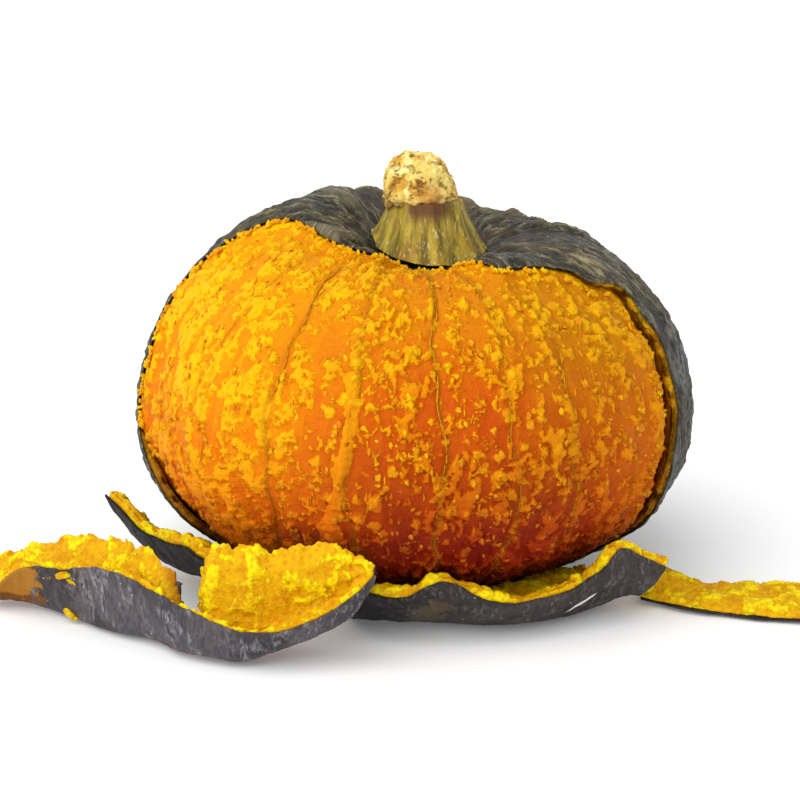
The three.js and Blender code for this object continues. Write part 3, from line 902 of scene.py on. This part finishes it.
def build_cork(n, geometry, size):
    """The lumps, pits and holes of the corky plug."""
    x, y, height = n.split(n.add("GeometryNodeInputPosition"))
    shift = (height - FOOT_TOP) * STEM_LEAN
    fringe = n.step(height, 123.0, 120.6) * measured(n, "side")
    droop = n.math("MAXIMUM", n.noise(n.join(x * 0.3, y * 0.3, 4.0), 1.0, detail=3) - 0.44, 0.0)
    place = n.join(x + STEM_X + shift + CORK_X, y, height - fringe * droop * size["Droop"])
    geometry = put(n, geometry, place)
    still = here(n)
    lumps = n.noise(still, 7.5, detail=5, roughness=0.62)
    pits = n.step(n.noise(still, 3.0, detail=3, distortion=0.6), 0.45, 0.36)
    _, _, z = n.split(still)
    edge = n.step(z, 124.5, 121.5)
    frill = n.noise(n.join(x * 0.35, y * 0.35, 0.0), 1.0, detail=3)
    relief = (lumps - 0.5) * size["Lumps"] - pits * size["Pit depth"]
    return push_out(n, geometry, (relief + edge * (frill - 0.45) * size["Lip"]) * measured(n, "side"))


# Torn peel
def crowded(count, length, rim):
    """Shares from 0 to 1, closer together within a rim at both ends of a length."""
    near = rim * np.array([0, 0.06, 0.22, 0.5, 1.0]) / length
    inner = np.linspace(near[-1], 1 - near[-1], count)
    return np.concatenate([near[:-1], inner, 1 - near[-2::-1]])


def peel_base(side, low, high, ragged, seed, rim, back_trim, swell=0.0, rim_share=1.0):
    """A torn sheet between two depths from its skin side, thinner and rounded at its torn rims."""
    size = PEEL_SIZES[side]
    us = np.clip(crowded(size["along"], size["length"], rim), 0, 1)
    ws = crowded(size["across"], size["width"], rim)
    controls = smooth_rows(np.array(PEELS[side], float), us)
    along_rim = us * size["along"] * 0.17
    starts = np.maximum(0.028 * (1 + ragged * ripple(along_rim, seed)), 0)
    ends = 1 - np.maximum(0.028 * (back_trim + ragged * ripple(along_rim, seed + 4)), 0)
    grid = np.array([
        smooth_rows(controls[i], starts[i] + (ends[i] - starts[i]) * ws) for i in range(len(us))])
    grid[..., 2] = np.maximum(grid[..., 2], FLOOR_CLEARANCE)
    du = np.gradient(grid, us, axis=0)
    dv = np.gradient(grid, ws, axis=1)
    inward = np.cross(du, dv)
    inward /= np.linalg.norm(inward, axis=-1, keepdims=True)

    def from_end(axis):
        steps = np.linalg.norm(np.diff(grid, axis=axis), axis=-1)
        zero = np.zeros_like(steps.take([0], axis=axis))
        ahead = np.concatenate([zero, np.cumsum(steps, axis=axis)], axis=axis)
        return np.minimum(ahead, ahead.take([-1], axis=axis) - ahead)

    inset = np.minimum(from_end(0), from_end(1))
    u = np.repeat(us[:, None], len(ws), axis=1)
    v = starts[:, None] + (ends - starts)[:, None] * ws[None, :]
    keep = np.ones_like(u, bool)
    torn = np.zeros_like(u)
    if side == "left":
        edge = TEAR_WIDTH * (1 - (1 - v) / TEAR_REACH) + 0.006 * ripple(v * 40, seed + 1)
        outside = (np.abs(u - TEAR_AT) - edge) * 150
        keep = outside > 0
        inset = np.minimum(inset, np.maximum(outside, 0))
        torn = np.exp(-((outside / 3.5) ** 2)) * (u < TEAR_AT)
    rounding = np.sqrt(1 - (1 - np.clip(inset / rim, 0, 1)) ** 2)
    thickness = high - low + swell * smooth_step(v, 0.45, 0.95)
    thickness = thickness * (rim_share + (1 - rim_share) * smooth_step(inset, 0, PEEL_TAPER))
    middle = low + 0.5 * thickness
    face = grid + inward * (middle - 0.5 * thickness * rounding)[..., None]
    back = grid + inward * (middle + 0.5 * thickness * rounding)[..., None]
    rows, columns = u.shape
    count = rows * columns
    quads = grid_faces(rows, columns)
    quads = quads[keep.ravel()[quads].all(axis=1)]
    halves = dict.fromkeys((quad[k - 1], quad[k]) for quad in quads.tolist() for k in (1, 2, 3, 0))
    border = [(start, end) for start, end in halves if (end, start) not in halves]
    walls = np.array([(end, start, start + count, end + count) for start, end in border])
    used, faces = np.unique(np.vstack([quads, quads[:, ::-1] + count, walls]), return_inverse=True)
    points = np.vstack([face.reshape(-1, 3), back.reshape(-1, 3)]) * MM
    crumbly = np.concatenate([0.25 * (1 - rounding.ravel()), np.ones(count)])
    outside_skin = np.concatenate([rounding.ravel(), np.zeros(count)])
    # browned: darker brownish flesh beside the tear, partly its own colour and partly painted shade in the
    # gap
    browned = np.tile(torn.ravel(), 2)
    return base_mesh(
        f"peel_{side}", points[used], faces.reshape(-1, 4), crumbly=crumbly[used],
        outside=outside_skin[used], browned=browned[used])


def pulp_pattern(n, place):
    """Crumbly relief of the flesh on torn peel: flakes, grain and broad lumps."""
    wide = n.noise(place, 6.5, detail=4, roughness=0.62, distortion=0.5)
    flakes = n.step(wide, 0.5, 0.53)
    fine = n.noise(place, 1.8, detail=3, roughness=0.6)
    return flakes, fine, wide


def build_pulp(n, geometry, size):
    flakes, fine, wide = pulp_pattern(n, here(n))
    relief = flakes * 0.7 + (fine - 0.5) * 1.5 + (wide - 0.5) * 2.5
    return push_out(n, geometry, relief * size["Crumbliness"] * measured(n, "crumbly"))


def build_peel_skin(n, geometry, size):
    still = here(n)
    _, _, z = n.split(still)
    warts = n.step(n.cells(still, 5.0), 0.4, 0.05)
    relief = (peel_folds(n, still) - 0.55) * 1.5 + warts * 0.3
    clear = n.step(z, 0.3, 2.5)
    return push_out(n, geometry, relief * size["Wrinkles"] * measured(n, "outside") * clear)


# Materials
def new_material(name, **constants):
    material = bpy.data.materials.new(name)
    material.use_nodes = True
    material.node_tree.nodes.clear()
    n = Nodes(material.node_tree)
    shader = material.node_tree.nodes.new("ShaderNodeBsdfPrincipled")
    leave = material.node_tree.nodes.new("ShaderNodeOutputMaterial")
    material.node_tree.links.new(shader.outputs[0], leave.inputs["Surface"])
    for label, value in constants.items():
        shader.inputs[label.replace("_", " ")].default_value = value
    return material, n, shader


def feed(n, shader, **values):
    for label, value in values.items():
        n.tree.links.new(value.socket, shader.inputs[label.replace("_", " ")])


def bump(n, height, distance):
    return n.add("ShaderNodeBump", inputs={"Height": height, "Distance": distance * MM, "Strength": 1.0})


def object_place(n):
    return n.scaled(n.add("ShaderNodeTexCoord", output="Object"), 1 / MM)


def carried(n, name, output="Fac"):
    return n.add("ShaderNodeAttribute", {"attribute_name": name}, output=output)


def flesh_material():
    material, n, shader = new_material(
        "crumbly flesh", Subsurface_Weight=0.08, Subsurface_Scale=0.003, Specular_IOR_Level=0.08)
    shader.inputs["Subsurface Radius"].default_value = (1.0, 0.35, 0.05)
    place = carried(n, "place", "Vector")
    x, _, z = n.split(place)
    flakes, bright, fine, wide = flesh_pattern(n, place, carried(n, "ridge"))
    left = n.step(x, 4.0, -62.0)
    right = n.step(x, 12.0, 58.0)
    far_right = n.step(x, 34.0, 74.0)
    high_right = right * n.step(z, 56.0, 92.0)
    # low: towards the foot, partly the flesh's own darker red and partly painted shade
    low = n.step(z, 80.0, 26.0) * (1 - 0.3 * left)
    top = n.step(z, 74.0, 102.0)

    def across(middle, at_left, at_right, at_top, low_middle, low_left, low_right):
        """A colour that changes over the fruit from side to side, and darker and redder towards its foot:
        partly the flesh's own colour, partly painted shade.
        """
        tone = n.mix(right, n.mix(left, middle, at_left), at_right)
        if at_top:
            tone = n.mix(high_right, tone, at_top)
        return n.mix(low, tone, n.mix(far_right, n.mix(left, low_middle, low_left), low_right))

    deep = across(
        (200, 76, 0), (236, 134, 0), (194, 88, 0), (192, 112, 0), (112, 12, 0), (188, 38, 0), (176, 54, 0))
    ripe = across(
        (208, 94, 0), (244, 166, 0), (208, 108, 0), (204, 130, 0), (142, 24, 0), (214, 58, 0), (200, 74, 0))
    flaky = across(
        (234, 144, 0), (246, 194, 0), (236, 160, 0), None, (176, 48, 0), (242, 98, 0), (222, 106, 0))
    light = n.mix(low, n.mix(right, (248, 190, 4), (232, 158, 4)), (212, 104, 4))
    vein = n.step(carried(n, "vein"), 1.6, 0.3) * carried(n, "force")
    tone = n.layers(
        n.mix(n.step(wide, 0.36, 0.6), deep, ripe),
        (top * 0.5, n.mix(right, (238, 168, 0), (204, 138, 0))),
        (flakes * 0.85, n.mix(top * 0.7, flaky, (244, 196, 0))),
        (bright * (0.9 - 0.25 * low), light),
        # painted shade: darkest red brown close to the foot
        (n.step(z, 44.0, 10.0) * 0.7, (92, 20, 0)),
        (n.step(fine, 0.56, 0.3) * 0.4, deep),
        # painted light: lighter orange at the far right, where light falls off as the flesh turns away
        (n.step(x, 50.0, 78.0) * 0.22, (240, 152, 4)),
        (vein * 0.42, (156, 98, 4)),
        # painted shade: near black in the crack between the flesh and the rind's lip
        (n.step(carried(n, "crack"), 0.5, 0.95) * 0.9, (54, 18, 0)),
    )
    wet = (1 - flakes) * n.step(n.noise(place, 7), 0.4, 0.65)
    grain = n.noise(place, 0.9, detail=3, roughness=0.65) + flakes * 0.35 + bright * 0.35
    feed(n, shader, Base_Color=tone, Roughness=0.6 - 0.28 * wet, Normal=bump(n, grain, 0.65))
    return material


def pulp_material(name, first, second, dark, low=None):
    """Crumbly yellow flesh, with a darker colour low down where one is given: partly its own colour, partly
    painted shade, as on the fruit's foot.
    """
    material, n, shader = new_material(
        name, Subsurface_Weight=0.08, Subsurface_Scale=0.002, Specular_IOR_Level=0.14)
    shader.inputs["Subsurface Radius"].default_value = (1.0, 0.5, 0.05)
    place = object_place(n)
    flakes, fine, _ = pulp_pattern(n, place)
    tone = n.layers(
        n.mix(flakes, first, second),
        (n.step(fine, 0.6, 0.32) * 0.55, dark),
        (n.step(n.noise(place, 12, detail=3), 0.55, 0.7) * 0.4, dark),
        # beside the tear: partly the flesh's own brownish edge, partly painted shade in the gap
        (carried(n, "browned") * 0.75, (150, 78, 4)),
    )
    if low:
        _, _, z = n.split(place)
        # darker low down: partly the flesh's own colour, partly painted shade
        tone = n.mix(n.step(z, 74.0, 12.0) * 0.95, tone, low)
    grain = n.noise(place, 0.8, detail=3) + flakes * 0.2
    feed(n, shader, Base_Color=tone, Roughness=0.55 + 0.2 * fine, Normal=bump(n, grain, 0.5))
    return material


def rind_material():
    """Skin that clings to the fruit: dark and waxy, with pale specks, painted highlights on its streaks
    away from the stem and on its fold crests, and painted shade in its creases, its fold valleys and over
    its right side.
    """
    material, n, shader = new_material("dark rind", Coat_Roughness=0.26, Specular_IOR_Level=0.3)
    dark = (18, 16, 10)
    pale = (206, 194, 146)
    place = carried(n, "place", "Vector")
    height, creases = rind_wrinkles(n, place)
    x, y, z = n.split(place)
    turn, reach = n.polar(x - STEM_X, y)
    streaks = n.noise(n.join(turn * 44.0, reach * 0.22, z * 0.22), 1.7, detail=5, roughness=0.7)
    by_stem = n.step(reach, 52.0, 20.0) * n.step(z, 95.0, 108.0)
    # painted shade: the rind darker over its right side, turned away from the light
    shaded_right_side = n.step(x, 66.0, 82.0) * n.step(z, 102.0, 84.0)
    specks = n.specks(place, 4.2, 0.06, 0.13, 0.72)
    tone = n.layers(
        n.mix(n.step(n.noise(place, 20, detail=3), 0.4, 0.6), (98, 87, 58), dark),
        # painted shade in the creases
        (n.step(creases, 0.22, 0.0) * 0.7, dark),
        # painted highlight along the streaks
        (n.step(streaks, 0.48, 0.7) * 0.55, pale),
        # painted highlight on the fold crests, stronger away from the stem
        (n.step(height, 0.5, 2.4) * (0.14 + 0.28 * n.step(reach, 38.0, 72.0)), pale),
        # painted shade in the fold valleys
        (n.step(height, 0.4, -0.8) * 0.8, dark),
        (by_stem * n.step(n.noise(place, 8, detail=3), 0.5, 0.65) * 0.5, (92, 66, 44)),
        (shaded_right_side * 0.6, dark),
        (specks * 0.8, (176, 172, 160)),
    )
    rough = 0.5 + 0.2 * n.noise(place, 5, detail=3) - 0.12 * n.step(creases, 0.2, 0.6)
    coat = 0.05 + 0.3 * n.step(n.noise(place, 20), 0.42, 0.6)
    grain = n.noise(place, 1.1, detail=4, roughness=0.65) * 0.8 + creases + specks * 0.3 + streaks * 0.9
    feed(n, shader, Base_Color=tone, Roughness=rough, Coat_Weight=coat, Normal=bump(n, grain, 1.1))
    return material


def peel_folds(n, place):
    """Fine wrinkles that run from rim to rim over torn peel, from 0 to 1."""
    x, y, z = n.split(place)
    return n.noise(n.join(x, y * 0.5, z * 0.35), 3.4, detail=3, roughness=0.55, distortion=0.8)


def peel_rind_material(name, body, dark, pale, coat, patches=()):
    """Skin of torn peel, with fine wrinkles, painted shade in their grooves, a painted highlight on their
    crests, specks, and patches painted over it.
    """
    material, n, shader = new_material(name, Coat_Roughness=0.22, Specular_IOR_Level=0.25)
    place = object_place(n)
    x, y, z = n.split(place)
    folds = peel_folds(n, place)
    lines = n.noise(n.join(x * 1.4, y * 0.6, z * 0.42), 1.3, detail=4, roughness=0.62, distortion=0.5)
    tone = n.layers(
        n.mix(n.step(n.noise(place, 22, detail=3), 0.42, 0.6) * 0.7, body, dark),
        # painted shade in the fine grooves
        (n.step(lines, 0.52, 0.34) * 0.65, dark),
        # painted highlight on the fold crests
        (n.step(folds, 0.46, 0.66) * n.step(lines, 0.42, 0.64) * 0.5, pale),
    )
    uneven = n.noise(place, 3.5, detail=4, roughness=0.6) - 0.5
    # each patch: the skin's own mark, painted shade or a painted highlight, as listed above
    for middle_x, middle_z, wide, high, slope, patch_tone, strength in patches:
        off_x = x - middle_x
        _, away = n.polar(off_x / wide, (z - middle_z - off_x * slope) / high)
        away = away + uneven * (2.2 if high > 2 else 0.5)
        tone = n.mix(n.step(away, 1.1, 0.85) * strength, tone, patch_tone)
    tone = n.mix(n.specks(place, 3.6, 0.05, 0.12, 0.75) * 0.7, tone, (190, 186, 180))
    rough = 0.52 + 0.2 * n.noise(place, 4, detail=3)
    wax = coat * n.step(n.noise(place, 14, detail=2), 0.38, 0.6)
    grain = lines + n.noise(place, 0.9, detail=3) * 0.4 + folds
    feed(n, shader, Base_Color=tone, Roughness=rough, Coat_Weight=wax, Normal=bump(n, grain, 0.7))
    return material


def stem_material():
    material, n, shader = new_material("olive stem")
    place = object_place(n)
    x, y, z = n.split(place)
    angle, _ = n.polar(x - STEM_X, y)
    fibres = n.noise(n.join(angle * 7.0, z * 0.07, 0.0), 1.3, detail=5, roughness=0.62, distortion=0.3)
    streaks = n.noise(n.join(x * 1.3, y * 1.3, z * 0.35), 1.2, detail=4) + n.step(z, 106.0, 99.0) * 0.09
    aside = n.math("ABSOLUTE", x - STEM_X - 1.0) + 2.0 * n.noise(place, 3, detail=2)
    front = n.step(y, 2.0, -6.0) * n.step(aside, 9.0, 6.0)
    # painted shadow cast by the cork's overhanging front lip on the stem
    lip_shadow = n.step(z + 2.0 * n.noise(place, 4, detail=3), 114.5, 119.5) * front
    tone = n.layers(
        n.mix(n.step(fibres, 0.36, 0.64), (108, 88, 4), (186, 162, 42)),
        (n.step(n.noise(place, 7, detail=3), 0.5, 0.7) * 0.6, (146, 106, 22)),
        (n.step(streaks, 0.56, 0.68) * 0.6, (216, 202, 140)),
        (lip_shadow * 0.9, (92, 48, 8)),
    )
    grain = fibres + n.noise(place, 1.0, detail=3) * 0.5
    feed(n, shader, Base_Color=tone, Roughness=0.6 + 0.15 * fibres, Normal=bump(n, grain, 0.5))
    return material


def cork_material():
    material, n, shader = new_material("straw cork")
    place = object_place(n)
    x, y, z = n.split(place)
    lumps = n.noise(place, 6, detail=4, roughness=0.6)
    pits = n.step(n.noise(place, 3.0, detail=3, distortion=0.6), 0.46, 0.38)
    dots = n.step(n.cells(place, 2.4), 0.24, 0.12) * n.step(n.noise(place, 7, detail=2), 0.46, 0.54)
    _, near = n.polar(x - STEM_X - CORK_X - 3.0, z - 122.5)
    near = near + 3.0 * n.noise(place, 3, detail=2)
    tone = n.layers(
        n.mix(n.step(lumps, 0.38, 0.6), (212, 158, 46), (238, 212, 112)),
        (n.step(n.noise(place, 3.4, detail=3), 0.52, 0.66), (250, 236, 156)),
        # partly brown cork, partly painted shade in the pits
        (pits * 0.6, (140, 84, 22)),
        (dots * 0.7, (120, 66, 16)),
        # painted shade under the front of the cork's lip
        (n.step(near, 6.2, 4.6) * n.step(y, 0.0, -5.0) * 0.6, (184, 110, 18)),
        # painted shade on the cork's underside, under its lip
        (n.step(z, 121.6, 120.0) * 0.7, (126, 76, 20)),
    )
    grain = n.noise(place, 1.1, detail=4, roughness=0.65) - pits * 0.6
    feed(n, shader, Base_Color=tone, Roughness=0.72 + 0.15 * lumps, Normal=bump(n, grain, 0.6))
    return material


FLESH = flesh_material()
PULP = pulp_material("yellow peel flesh", (228, 176, 0), (246, 224, 0), (200, 116, 0))
LIP = pulp_material("browned lip", (196, 136, 2), (226, 172, 4), (110, 62, 2), (118, 66, 6))
FIBRE = pulp_material("vein fibres", (200, 132, 6), (226, 164, 10), (150, 96, 4), (140, 58, 0))
CRUMB = pulp_material("loose crumbs", (228, 142, 0), (244, 182, 2), (204, 100, 0), (168, 66, 0))
TUFT = pulp_material("torn edge flesh", (236, 170, 0), (248, 204, 4), (214, 124, 0), (200, 112, 0))
RIND = rind_material()
# One peel skin in lit and shaded copies: the left piece's paler lavender grey is painted light, and the
# near-black back piece and the darker front and right pieces are painted shade.
PEEL_RINDS = {
    "left": peel_rind_material(
        "grey peel skin", (86, 80, 84), (46, 42, 46), (178, 172, 178), 0.25, LEFT_PATCHES),
    "back": peel_rind_material("black peel skin", (22, 15, 13), (10, 7, 7), (54, 44, 40), 0.0),
    "front": peel_rind_material(
        "dark peel skin", (62, 54, 52), (32, 27, 27), (128, 118, 112), 0.12, FRONT_PATCHES),
    "right": peel_rind_material("low peel skin", (46, 38, 36), (24, 19, 19), (80, 72, 68), 0.12),
}
STEM = stem_material()
CORK = cork_material()


# Pieces
flesh = grow("flesh_body", flesh_base(), {
    "Depth under the rind": UNDER_RIND_DEPTH,
    "Depth where bare": PEELED_DEPTH,
    "Crack depth": CRACK_DEPTH,
    "Depth at a clinging edge": SWELL_DEPTH,
    "Flake height": 0.95,
    "Small flake height": 0.8,
    "Vein groove": VEIN_GROOVE,
}, build_flesh, FLESH, "flesh", "flesh")

grow("vein_fibres", vein_base(), {"Depth": PEELED_DEPTH + 0.1, "Radius": 0.2}, build_veins, FIBRE, "flesh")

bare_flesh = flesh.data.copy()
loose = np.zeros(len(bare_flesh.vertices), np.float32)
bare_flesh.attributes["bare"].data.foreach_get("value", loose)
bare_flesh.attributes.new("loose", "FLOAT", "POINT").data.foreach_set("value", loose ** 3)
grow("flesh_crumbs", bare_flesh, {
    "Crumbs per square metre": 36000.0, "Smallest": 0.5, "Largest": 2.0,
}, build_crumbs, CRUMB, "flesh")

skin_bottom = SKIN_DEPTH + SKIN_THICKNESS
skin_mesh = shell_base(
    "rind_skin", outer_rings=170, inner_rings=14, low=SKIN_DEPTH, high=skin_bottom, reach=None,
    ragged=0.8, seed=1, thin_edge=0.9)
grow("rind_skin", skin_mesh, {"Wrinkles": 1.0}, build_skin, RIND, "rind", "rind")

lip_top = skin_bottom - 0.1
lip_mesh = shell_base(
    "rind_lip", outer_rings=16, inner_rings=16, low=lip_top, high=lip_top + LIP_THICKNESS, reach=LIP_REACH,
    ragged=0.6, seed=3, thin_edge=1.2)
grow("rind_lip", lip_mesh, {"Crumbliness": 1.3}, build_lip, LIP, "peel_flesh")

grow("edge_tufts", tuft_base(), {
    "Thinnest": 0.7, "Thickest": 1.7, "Shortest": 1.0, "Longest": 3.4,
}, build_tufts, TUFT, "flesh")

bit_places = np.array(BITS, float)
bit_mesh = base_mesh("bits", bit_places[:, :3] * MM, np.zeros((0, 3)), wide=bit_places[:, 3])
grow("torn_bits", bit_mesh, {"Length": 1.5, "Flatness": 0.6}, build_bits, PULP, "peel_flesh")

grow("stem_ribs", turned_base("stem_foot", FOOT_PROFILE, 160, 60), {
    "Flutes": 9.0, "Flute depth": 0.95, "Clearance": 0.4, "Top": FOOT_TOP, "Fruit radius": FRUIT["Radius"],
}, build_foot, STEM, "stem_green", "stem_foot")

grow("stem_plug", turned_base("stem_cork", CORK_PROFILE, 140, 90), {
    "Lumps": 6.0, "Pit depth": 1.3, "Lip": 4.0, "Droop": 14.0,
}, build_cork, CORK, "stem_cork", "stem_cork")

pulp_bottom = PEEL_SKIN - 0.05
for order, (side, size) in enumerate(PEEL_SIZES.items()):
    sheet = peel_base(side, low=0.0, high=PEEL_SKIN, ragged=0.5, seed=order, rim=0.6, back_trim=2.2)
    grow(
        f"{side}_peel_skin", sheet, {"Wrinkles": 0.7}, build_peel_skin, PEEL_RINDS[side],
        "peel_skin", f"peel_{side}_skin")
    sheet = peel_base(
        side, low=pulp_bottom, high=pulp_bottom + size["flesh"], ragged=1.0, seed=order + 0.5, rim=1.4,
        back_trim=0.6, swell=size["swell"], rim_share=size["rim_share"])
    grow(
        f"{side}_peel_pulp", sheet, {"Crumbliness": 0.85}, build_pulp, PULP,
        "peel_flesh", f"peel_{side}_flesh")


# Stage
def make_floor():
    corners = np.array([(-6, -6, 0), (6, -6, 0), (6, 6, 0), (-6, 6, 0)], float) - (0, 0, 0.0002)
    mesh = base_mesh("floor", corners, np.array([[0, 1, 2, 3]]))
    material, n, shader = new_material("white table", Roughness=0.9, Emission_Strength=0.08)
    shader.inputs["Emission Color"].default_value = (1.0, 1.0, 1.0, 1.0)
    place = n.add("ShaderNodeTexCoord", output="Object")
    tone = n.mix(n.noise(place, 0.5), (0.94, 0.94, 0.94, 1), (0.96, 0.96, 0.96, 1))
    feed(n, shader, Base_Color=tone)
    mesh.materials.append(material)
    floor = bpy.data.objects.new("floor", mesh)
    bpy.context.scene.collection.objects.link(floor)


def make_sun():
    data = bpy.data.lights.new("key", "SUN")
    data.energy = SUN_STRENGTH
    data.angle = SUN_SOFTNESS
    lamp = bpy.data.objects.new("key", data)
    lamp.rotation_euler = (SUN_TILT, 0, SUN_TURN)
    bpy.context.scene.collection.objects.link(lamp)


def make_camera():
    data = bpy.data.cameras.new("camera")
    data.lens = CAMERA_LENS
    data.sensor_width = 36
    data.clip_start = 0.05
    camera = bpy.data.objects.new("camera", data)
    camera.location = CAMERA_PLACE
    camera.rotation_euler = (CAMERA_TILT, 0, 0)
    bpy.context.scene.collection.objects.link(camera)
    bpy.context.scene.camera = camera


def make_world():
    world = bpy.data.worlds.new("studio")
    world.use_nodes = True
    background = world.node_tree.nodes["Background"]
    background.inputs["Color"].default_value = (1, 1, 1, 1)
    background.inputs["Strength"].default_value = SKY_STRENGTH
    bpy.context.scene.world = world


make_floor()
make_camera()
make_world()
make_sun()
bpy.context.scene.view_settings.view_transform = "Standard"
